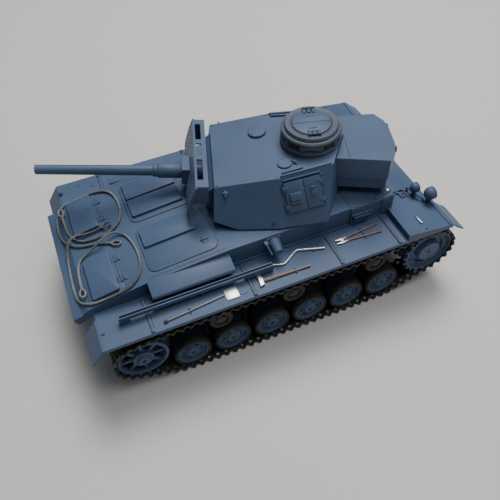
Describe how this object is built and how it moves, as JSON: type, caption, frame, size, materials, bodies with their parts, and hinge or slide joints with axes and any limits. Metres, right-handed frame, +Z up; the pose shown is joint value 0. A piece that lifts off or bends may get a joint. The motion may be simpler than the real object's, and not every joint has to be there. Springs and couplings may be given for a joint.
{
  "type": "rc tank",
  "caption": "Radio-controlled model of a medium tank with turning turret, elevating gun, sprung road wheels, hatches, tools and tow cables.",
  "frame": {"origin": "on the ground under the middle of the overall bounding box", "axes": "+X to the hull's front, +Y to the hull's left, +Z up"},
  "size_m": [0.324, 0.185, 0.1517],
  "materials": {
    "hull_plastic": "satin blue-grey",
    "cupola_plastic": "satin, slightly darker grey",
    "lamp_metal": "satin blue-grey",
    "tool_metal": "satin",
    "motor_case": "satin",
    "battery_sleeve": "gloss",
    "rope": "twisted, matt",
    "wheel_rubber": "matt",
    "arm_metal": "matt",
    "track_plastic": "satin black"
  },
  "bodies": {
    "hull": {"lower_hull": "hull_plastic", "upper_hull": "hull_plastic", "deck_covers": "hull_plastic", "mud_flaps": "hull_plastic", "headlights": "lamp_metal", "fender_fittings": "hull_plastic", "fender_tools": "tool_metal", "drive_units": "motor_case", "electronics": "battery_sleeve", "tow_cable_far": "rope", "tow_cable_near": "rope", "tow_cable_eyes": "tool_metal", "right_track": "track_plastic", "left_track": "track_plastic"},
    "turret": {"turret_shell": "hull_plastic", "turret_ring": "hull_plastic", "stowage_bin": "hull_plastic", "cupola": "cupola_plastic"},
    "gun": {"gun_mantlet": "hull_plastic", "gun_barrel": "hull_plastic"},
    "cupola_lid_left": {"cupola_lid_left": "cupola_plastic"},
    "left_door_front_leaf": {"left_door_front_leaf": "hull_plastic"},
    "left_door_rear_leaf": {"left_door_rear_leaf": "hull_plastic"},
    "cupola_lid_right": {"cupola_lid_right": "cupola_plastic"},
    "right_door_front_leaf": {"right_door_front_leaf": "hull_plastic"},
    "right_door_rear_leaf": {"right_door_rear_leaf": "hull_plastic"},
    "right_sprocket": {"right_sprocket": "hull_plastic"},
    "right_idler": {"right_idler": "hull_plastic"},
    "right_return_roller_1": {"right_return_roller_1": "hull_plastic"},
    "right_return_roller_2": {"right_return_roller_2": "hull_plastic"},
    "right_return_roller_3": {"right_return_roller_3": "hull_plastic"},
    "right_swing_arm_1": {"right_swing_arm_1": "arm_metal"},
    "right_road_wheel_1": {"right_road_wheel_1": "wheel_rubber"},
    "right_swing_arm_2": {"right_swing_arm_2": "arm_metal"},
    "right_road_wheel_2": {"right_road_wheel_2": "wheel_rubber"},
    "right_swing_arm_3": {"right_swing_arm_3": "arm_metal"},
    "right_road_wheel_3": {"right_road_wheel_3": "wheel_rubber"},
    "right_swing_arm_4": {"right_swing_arm_4": "arm_metal"},
    "right_road_wheel_4": {"right_road_wheel_4": "wheel_rubber"},
    "right_swing_arm_5": {"right_swing_arm_5": "arm_metal"},
    "right_road_wheel_5": {"right_road_wheel_5": "wheel_rubber"},
    "right_swing_arm_6": {"right_swing_arm_6": "arm_metal"},
    "right_road_wheel_6": {"right_road_wheel_6": "wheel_rubber"},
    "left_sprocket": {"left_sprocket": "hull_plastic"},
    "left_idler": {"left_idler": "hull_plastic"},
    "left_return_roller_1": {"left_return_roller_1": "hull_plastic"},
    "left_return_roller_2": {"left_return_roller_2": "hull_plastic"},
    "left_return_roller_3": {"left_return_roller_3": "hull_plastic"},
    "left_swing_arm_1": {"left_swing_arm_1": "arm_metal"},
    "left_road_wheel_1": {"left_road_wheel_1": "wheel_rubber"},
    "left_swing_arm_2": {"left_swing_arm_2": "arm_metal"},
    "left_road_wheel_2": {"left_road_wheel_2": "wheel_rubber"},
    "left_swing_arm_3": {"left_swing_arm_3": "arm_metal"},
    "left_road_wheel_3": {"left_road_wheel_3": "wheel_rubber"},
    "left_swing_arm_4": {"left_swing_arm_4": "arm_metal"},
    "left_road_wheel_4": {"left_road_wheel_4": "wheel_rubber"},
    "left_swing_arm_5": {"left_swing_arm_5": "arm_metal"},
    "left_road_wheel_5": {"left_road_wheel_5": "wheel_rubber"},
    "left_swing_arm_6": {"left_swing_arm_6": "arm_metal"},
    "left_road_wheel_6": {"left_road_wheel_6": "wheel_rubber"}
  },
  "joints": [
    {"name": "turret_traverse", "type": "hinge", "parent": "hull", "child": "turret", "pos_m": [0.0273, 0, 0.0945], "axis": [0, 0, 1], "continuous": true},
    {"name": "gun_elevation", "type": "hinge", "parent": "turret", "child": "gun", "pos_m": [-0.01664, 0.0136, 0.1073], "axis": [0.2957, 0.9553, 0], "range_deg": [-7.5, 8]},
    {"name": "cupola_lid_left_hinge", "type": "hinge", "parent": "turret", "child": "cupola_lid_left", "pos_m": [0.04983, -0.02393, 0.1507], "axis": [0.9553, -0.2957, 0], "range_deg": [0, 100]},
    {"name": "left_door_front_leaf_hinge", "type": "hinge", "parent": "turret", "child": "left_door_front_leaf", "pos_m": [0.01499, -0.04791, 0.11404], "axis": [0.0163, -0.4677, -0.8837], "range_deg": [0, 105]},
    {"name": "left_door_rear_leaf_hinge", "type": "hinge", "parent": "turret", "child": "left_door_rear_leaf", "pos_m": [0.04485, -0.05273, 0.11714], "axis": [-0.0163, 0.4677, 0.8837], "range_deg": [0, 105]},
    {"name": "cupola_lid_right_hinge", "type": "hinge", "parent": "turret", "child": "cupola_lid_right", "pos_m": [0.05941, 0.00702, 0.1507], "axis": [-0.9553, 0.2957, 0], "range_deg": [0, 100]},
    {"name": "right_door_front_leaf_hinge", "type": "hinge", "parent": "turret", "child": "right_door_front_leaf", "pos_m": [0.04421, 0.04648, 0.11404], "axis": [-0.2777, -0.3767, 0.8837], "range_deg": [0, 105]},
    {"name": "right_door_rear_leaf_hinge", "type": "hinge", "parent": "turret", "child": "right_door_rear_leaf", "pos_m": [0.07157, 0.03359, 0.11714], "axis": [0.2777, 0.3767, -0.8837], "range_deg": [0, 105]},
    {"name": "right_sprocket_drive", "type": "hinge", "parent": "hull", "child": "right_sprocket", "pos_m": [0.1343, -0.079, 0.0413], "axis": [0, 1, 0], "continuous": true, "deforming": ["right_track"]},
    {"name": "right_idler_turn", "type": "hinge", "parent": "hull", "child": "right_idler", "pos_m": [-0.1232, -0.079, 0.0371], "axis": [0, 1, 0], "continuous": true, "deforming": ["right_track"]},
    {"name": "right_return_roller_1_turn", "type": "hinge", "parent": "hull", "child": "right_return_roller_1", "pos_m": [0.0807, -0.079, 0.051], "axis": [0, 1, 0], "continuous": true, "deforming": ["right_track"]},
    {"name": "right_return_roller_2_turn", "type": "hinge", "parent": "hull", "child": "right_return_roller_2", "pos_m": [0.0051, -0.079, 0.051], "axis": [0, 1, 0], "continuous": true, "deforming": ["right_track"]},
    {"name": "right_return_roller_3_turn", "type": "hinge", "parent": "hull", "child": "right_return_roller_3", "pos_m": [-0.0576, -0.079, 0.051], "axis": [0, 1, 0], "continuous": true, "deforming": ["right_track"]},
    {"name": "right_swing_arm_1_pivot", "type": "hinge", "parent": "hull", "child": "right_swing_arm_1", "pos_m": [0.1064, -0.061, 0.0244], "axis": [0, 1, 0], "range_deg": [0, 15], "stiffness_Nm_per_rad": 0.15, "springref_deg": -17.19, "deforming": ["right_track"]},
    {"name": "right_road_wheel_1_turn", "type": "hinge", "parent": "right_swing_arm_1", "child": "right_road_wheel_1", "pos_m": [0.0914, -0.079, 0.0189], "axis": [0, 1, 0], "continuous": true, "deforming": ["right_track"]},
    {"name": "right_swing_arm_2_pivot", "type": "hinge", "parent": "hull", "child": "right_swing_arm_2", "pos_m": [0.07126, -0.061, 0.0244], "axis": [0, 1, 0], "range_deg": [0, 15], "stiffness_Nm_per_rad": 0.15, "springref_deg": -17.19, "deforming": ["right_track"]},
    {"name": "right_road_wheel_2_turn", "type": "hinge", "parent": "right_swing_arm_2", "child": "right_road_wheel_2", "pos_m": [0.05626, -0.079, 0.0189], "axis": [0, 1, 0], "continuous": true, "deforming": ["right_track"]},
    {"name": "right_swing_arm_3_pivot", "type": "hinge", "parent": "hull", "child": "right_swing_arm_3", "pos_m": [0.03612, -0.061, 0.0244], "axis": [0, 1, 0], "range_deg": [0, 15], "stiffness_Nm_per_rad": 0.15, "springref_deg": -17.19, "deforming": ["right_track"]},
    {"name": "right_road_wheel_3_turn", "type": "hinge", "parent": "right_swing_arm_3", "child": "right_road_wheel_3", "pos_m": [0.02112, -0.079, 0.0189], "axis": [0, 1, 0], "continuous": true, "deforming": ["right_track"]},
    {"name": "right_swing_arm_4_pivot", "type": "hinge", "parent": "hull", "child": "right_swing_arm_4", "pos_m": [0.00098, -0.061, 0.0244], "axis": [0, 1, 0], "range_deg": [0, 15], "stiffness_Nm_per_rad": 0.15, "springref_deg": -17.19, "deforming": ["right_track"]},
    {"name": "right_road_wheel_4_turn", "type": "hinge", "parent": "right_swing_arm_4", "child": "right_road_wheel_4", "pos_m": [-0.01402, -0.079, 0.0189], "axis": [0, 1, 0], "continuous": true, "deforming": ["right_track"]},
    {"name": "right_swing_arm_5_pivot", "type": "hinge", "parent": "hull", "child": "right_swing_arm_5", "pos_m": [-0.03416, -0.061, 0.0244], "axis": [0, 1, 0], "range_deg": [0, 15], "stiffness_Nm_per_rad": 0.15, "springref_deg": -17.19, "deforming": ["right_track"]},
    {"name": "right_road_wheel_5_turn", "type": "hinge", "parent": "right_swing_arm_5", "child": "right_road_wheel_5", "pos_m": [-0.04916, -0.079, 0.0189], "axis": [0, 1, 0], "continuous": true, "deforming": ["right_track"]},
    {"name": "right_swing_arm_6_pivot", "type": "hinge", "parent": "hull", "child": "right_swing_arm_6", "pos_m": [-0.0693, -0.061, 0.0244], "axis": [0, 1, 0], "range_deg": [0, 15], "stiffness_Nm_per_rad": 0.15, "springref_deg": -17.19, "deforming": ["right_track"]},
    {"name": "right_road_wheel_6_turn", "type": "hinge", "parent": "right_swing_arm_6", "child": "right_road_wheel_6", "pos_m": [-0.0843, -0.079, 0.0189], "axis": [0, 1, 0], "continuous": true, "deforming": ["right_track"]},
    {"name": "left_sprocket_drive", "type": "hinge", "parent": "hull", "child": "left_sprocket", "pos_m": [0.1343, 0.079, 0.0413], "axis": [0, 1, 0], "continuous": true, "deforming": ["left_track"]},
    {"name": "left_idler_turn", "type": "hinge", "parent": "hull", "child": "left_idler", "pos_m": [-0.1232, 0.079, 0.0371], "axis": [0, 1, 0], "continuous": true, "deforming": ["left_track"]},
    {"name": "left_return_roller_1_turn", "type": "hinge", "parent": "hull", "child": "left_return_roller_1", "pos_m": [0.0807, 0.079, 0.051], "axis": [0, 1, 0], "continuous": true, "deforming": ["left_track"]},
    {"name": "left_return_roller_2_turn", "type": "hinge", "parent": "hull", "child": "left_return_roller_2", "pos_m": [0.0051, 0.079, 0.051], "axis": [0, 1, 0], "continuous": true, "deforming": ["left_track"]},
    {"name": "left_return_roller_3_turn", "type": "hinge", "parent": "hull", "child": "left_return_roller_3", "pos_m": [-0.0576, 0.079, 0.051], "axis": [0, 1, 0], "continuous": true, "deforming": ["left_track"]},
    {"name": "left_swing_arm_1_pivot", "type": "hinge", "parent": "hull", "child": "left_swing_arm_1", "pos_m": [0.1064, 0.061, 0.0244], "axis": [0, 1, 0], "range_deg": [0, 15], "stiffness_Nm_per_rad": 0.15, "springref_deg": -17.19, "deforming": ["left_track"]},
    {"name": "left_road_wheel_1_turn", "type": "hinge", "parent": "left_swing_arm_1", "child": "left_road_wheel_1", "pos_m": [0.0914, 0.079, 0.0189], "axis": [0, 1, 0], "continuous": true, "deforming": ["left_track"]},
    {"name": "left_swing_arm_2_pivot", "type": "hinge", "parent": "hull", "child": "left_swing_arm_2", "pos_m": [0.07126, 0.061, 0.0244], "axis": [0, 1, 0], "range_deg": [0, 15], "stiffness_Nm_per_rad": 0.15, "springref_deg": -17.19, "deforming": ["left_track"]},
    {"name": "left_road_wheel_2_turn", "type": "hinge", "parent": "left_swing_arm_2", "child": "left_road_wheel_2", "pos_m": [0.05626, 0.079, 0.0189], "axis": [0, 1, 0], "continuous": true, "deforming": ["left_track"]},
    {"name": "left_swing_arm_3_pivot", "type": "hinge", "parent": "hull", "child": "left_swing_arm_3", "pos_m": [0.03612, 0.061, 0.0244], "axis": [0, 1, 0], "range_deg": [0, 15], "stiffness_Nm_per_rad": 0.15, "springref_deg": -17.19, "deforming": ["left_track"]},
    {"name": "left_road_wheel_3_turn", "type": "hinge", "parent": "left_swing_arm_3", "child": "left_road_wheel_3", "pos_m": [0.02112, 0.079, 0.0189], "axis": [0, 1, 0], "continuous": true, "deforming": ["left_track"]},
    {"name": "left_swing_arm_4_pivot", "type": "hinge", "parent": "hull", "child": "left_swing_arm_4", "pos_m": [0.00098, 0.061, 0.0244], "axis": [0, 1, 0], "range_deg": [0, 15], "stiffness_Nm_per_rad": 0.15, "springref_deg": -17.19, "deforming": ["left_track"]},
    {"name": "left_road_wheel_4_turn", "type": "hinge", "parent": "left_swing_arm_4", "child": "left_road_wheel_4", "pos_m": [-0.01402, 0.079, 0.0189], "axis": [0, 1, 0], "continuous": true, "deforming": ["left_track"]},
    {"name": "left_swing_arm_5_pivot", "type": "hinge", "parent": "hull", "child": "left_swing_arm_5", "pos_m": [-0.03416, 0.061, 0.0244], "axis": [0, 1, 0], "range_deg": [0, 15], "stiffness_Nm_per_rad": 0.15, "springref_deg": -17.19, "deforming": ["left_track"]},
    {"name": "left_road_wheel_5_turn", "type": "hinge", "parent": "left_swing_arm_5", "child": "left_road_wheel_5", "pos_m": [-0.04916, 0.079, 0.0189], "axis": [0, 1, 0], "continuous": true, "deforming": ["left_track"]},
    {"name": "left_swing_arm_6_pivot", "type": "hinge", "parent": "hull", "child": "left_swing_arm_6", "pos_m": [-0.0693, 0.061, 0.0244], "axis": [0, 1, 0], "range_deg": [0, 15], "stiffness_Nm_per_rad": 0.15, "springref_deg": -17.19, "deforming": ["left_track"]},
    {"name": "left_road_wheel_6_turn", "type": "hinge", "parent": "left_swing_arm_6", "child": "left_road_wheel_6", "pos_m": [-0.0843, 0.079, 0.0189], "axis": [0, 1, 0], "continuous": true, "deforming": ["left_track"]}
  ],
  "couplings": [
    {"joint": "right_idler_turn", "follows": "right_sprocket_drive", "ratio": 1.1637},
    {"joint": "right_return_roller_1_turn", "follows": "right_sprocket_drive", "ratio": 2.4713},
    {"joint": "right_return_roller_2_turn", "follows": "right_sprocket_drive", "ratio": 2.4713},
    {"joint": "right_return_roller_3_turn", "follows": "right_sprocket_drive", "ratio": 2.4713},
    {"joint": "right_road_wheel_1_turn", "follows": "right_sprocket_drive", "ratio": 1.5172},
    {"joint": "right_road_wheel_2_turn", "follows": "right_sprocket_drive", "ratio": 1.5172},
    {"joint": "right_road_wheel_3_turn", "follows": "right_sprocket_drive", "ratio": 1.5172},
    {"joint": "right_road_wheel_4_turn", "follows": "right_sprocket_drive", "ratio": 1.5172},
    {"joint": "right_road_wheel_5_turn", "follows": "right_sprocket_drive", "ratio": 1.5172},
    {"joint": "right_road_wheel_6_turn", "follows": "right_sprocket_drive", "ratio": 1.5172},
    {"joint": "left_idler_turn", "follows": "left_sprocket_drive", "ratio": 1.1637},
    {"joint": "left_return_roller_1_turn", "follows": "left_sprocket_drive", "ratio": 2.4713},
    {"joint": "left_return_roller_2_turn", "follows": "left_sprocket_drive", "ratio": 2.4713},
    {"joint": "left_return_roller_3_turn", "follows": "left_sprocket_drive", "ratio": 2.4713},
    {"joint": "left_road_wheel_1_turn", "follows": "left_sprocket_drive", "ratio": 1.5172},
    {"joint": "left_road_wheel_2_turn", "follows": "left_sprocket_drive", "ratio": 1.5172},
    {"joint": "left_road_wheel_3_turn", "follows": "left_sprocket_drive", "ratio": 1.5172},
    {"joint": "left_road_wheel_4_turn", "follows": "left_sprocket_drive", "ratio": 1.5172},
    {"joint": "left_road_wheel_5_turn", "follows": "left_sprocket_drive", "ratio": 1.5172},
    {"joint": "left_road_wheel_6_turn", "follows": "left_sprocket_drive", "ratio": 1.5172}
  ]
}
